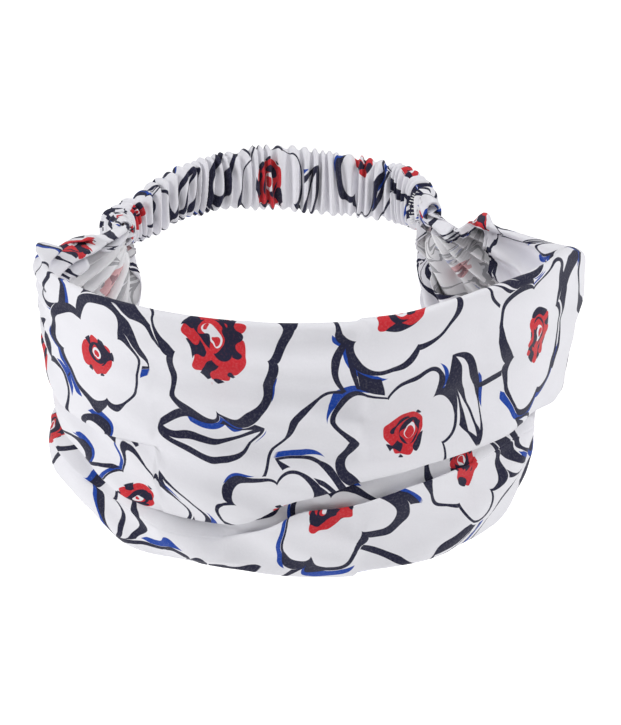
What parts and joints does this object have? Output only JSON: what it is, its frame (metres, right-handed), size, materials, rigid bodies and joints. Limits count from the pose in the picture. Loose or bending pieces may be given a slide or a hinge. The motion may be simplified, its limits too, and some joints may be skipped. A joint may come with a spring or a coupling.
{
  "type": "elasticated headband",
  "caption": "Wide printed cotton headband with a folded front panel whose ends are gathered into a ruched, elasticated nape band.",
  "frame": {"origin": "the middle of the head opening, level with the front panel's top edge at its centre front", "axes": "+X to the right of someone facing the front panel, +Y from the front panel to the nape band, +Z towards the crown"},
  "size_m": [0.1734, 0.1472, 0.097],
  "materials": {
    "printed_cotton": "fine matte plain weave, white with navy, red and blue line flowers printed on the right side",
    "cotton_wrong_side": "matte plain weave, the print showing through faintly",
    "elastic_webbing": "matte woven elastic, white",
    "sewing_thread": "matte spun thread, white"
  },
  "bodies": {
    "panel": {"front_panel": "printed_cotton", "top_hem_stitching": "sewing_thread", "bottom_hem_stitching": "sewing_thread", "left_gathering_thread": "sewing_thread", "right_gathering_thread": "sewing_thread"},
    "end_seams": {"left_end_stitching": "sewing_thread", "right_end_stitching": "sewing_thread"},
    "nape_band": {"back_casing": "printed_cotton", "elastic": "elastic_webbing", "casing_seam_stitching": "sewing_thread", "left_elastic_tack": "sewing_thread", "right_elastic_tack": "sewing_thread"}
  },
  "joints": [
    {"name": "nape_tilt", "type": "hinge", "parent": "panel", "child": "end_seams", "pos_m": [0, 0.032, 0.005], "axis": [1, 0, 0], "range_deg": [-40, 30]},
    {"name": "elastic_stretch", "type": "slide", "parent": "end_seams", "child": "nape_band", "axis": [0, 1, 0], "range_m": [0, 0.03], "stiffness_N_per_m": 250}
  ]
}
